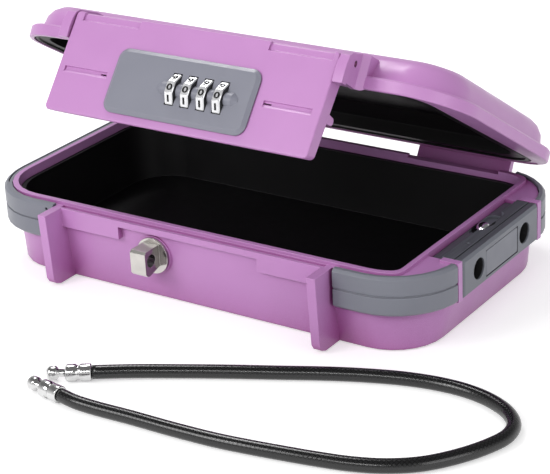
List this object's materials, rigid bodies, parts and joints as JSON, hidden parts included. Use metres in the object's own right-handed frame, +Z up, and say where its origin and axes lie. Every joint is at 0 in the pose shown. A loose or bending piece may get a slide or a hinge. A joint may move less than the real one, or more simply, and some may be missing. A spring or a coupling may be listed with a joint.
{
  "type": "portable car safe",
  "caption": "Small plastic lock box with a hinged lid, a fold-down front flap with a dial lock, padded bumpers and a loose tether cable that locks into its end.",
  "frame": {"origin": "centre of the base's flat underside", "axes": "+X towards the end with the cable sockets, -Y towards the front flap, +Z up from the underside"},
  "size_m": [0.3031, 0.2453, 0.1248],
  "materials": {
    "shell": "satin moulded lilac plastic",
    "trim": "satin grey moulded plastic",
    "lock_plate": "satin grey moulded plastic",
    "liner": "dull black moulded liner",
    "lock_case": "black moulded plastic",
    "chrome": "bright plated",
    "nickel": "plated, lightly polished",
    "steel": "plain steel",
    "cable_sheath": "glossy dark sheath over braided wire"
  },
  "bodies": {
    "base": {"base_shell": "shell", "base_liner": "liner", "bumper_left": "trim", "bumper_front_right": "trim", "bumper_rear_right": "trim", "cable_lock_housing": "trim", "access_panel": "trim", "housing_screw_front": "steel", "housing_screw_rear": "steel", "slide_spring": "steel", "latch_staple": "nickel", "staple_nut": "steel", "hinge_pin_left": "steel", "hinge_pin_right": "steel"},
    "lid": {"lid_shell": "shell", "lid_liner": "liner", "flap_pin_left": "steel", "flap_pin_right": "steel"},
    "flap": {"flap_shell": "shell", "lock_plate": "lock_plate", "lock_case": "lock_case", "dial_detent": "steel", "lock_screw_left": "steel", "lock_screw_right": "steel", "bolt_spring": "steel"},
    "bolt": {"lock_bolt": "steel", "dial_axle": "steel"},
    "cable_slide": {"cable_lock_slide": "lock_case", "release_knob": "chrome"},
    "cable": {"tether_cable": "cable_sheath", "cable_ferrule_first": "nickel", "cable_ferrule_second": "nickel", "cable_stud_first": "nickel", "cable_stud_second": "nickel"},
    "dial_1": {"dial_1": "chrome", "code_wheel_1": "steel"},
    "dial_2": {"dial_2": "chrome", "code_wheel_2": "steel"},
    "dial_3": {"dial_3": "chrome", "code_wheel_3": "steel"},
    "dial_4": {"dial_4": "chrome", "code_wheel_4": "steel"}
  },
  "joints": [
    {"name": "lid_hinge", "type": "hinge", "parent": "base", "child": "lid", "pos_m": [0, 0.0695, 0.0205], "axis": [-1, 0, 0], "range_deg": [-32.2, 70]},
    {"name": "flap_hinge", "type": "hinge", "parent": "lid", "child": "flap", "pos_m": [0, -0.03796, 0.11878], "axis": [-1, 0, 0], "range_deg": [-6.5, 75]},
    {"name": "dial_1_turn", "type": "hinge", "parent": "flap", "child": "dial_1", "pos_m": [-0.0037, -0.05882, 0.10057], "axis": [-1, 0, 0], "continuous": true},
    {"name": "dial_2_turn", "type": "hinge", "parent": "flap", "child": "dial_2", "pos_m": [0.0046, -0.05882, 0.10057], "axis": [-1, 0, 0], "continuous": true},
    {"name": "dial_3_turn", "type": "hinge", "parent": "flap", "child": "dial_3", "pos_m": [0.0129, -0.05882, 0.10057], "axis": [-1, 0, 0], "continuous": true},
    {"name": "dial_4_turn", "type": "hinge", "parent": "flap", "child": "dial_4", "pos_m": [0.0212, -0.05882, 0.10057], "axis": [-1, 0, 0], "continuous": true},
    {"name": "bolt_travel", "type": "slide", "parent": "flap", "child": "bolt", "axis": [1, 0, 0], "range_m": [0, 0.005], "stiffness_N_per_m": 150, "springref_m": -0.004, "deforming": ["bolt_spring"]},
    {"name": "cable_slide_travel", "type": "slide", "parent": "base", "child": "cable_slide", "axis": [0, 1, 0], "range_m": [0, 0.006], "stiffness_N_per_m": 200, "springref_m": -0.004, "deforming": ["slide_spring"]},
    {"name": "cable_lift", "type": "slide", "parent": "base", "child": "cable", "axis": [0, 0, 1], "range_m": [0, 0.3]}
  ]
}
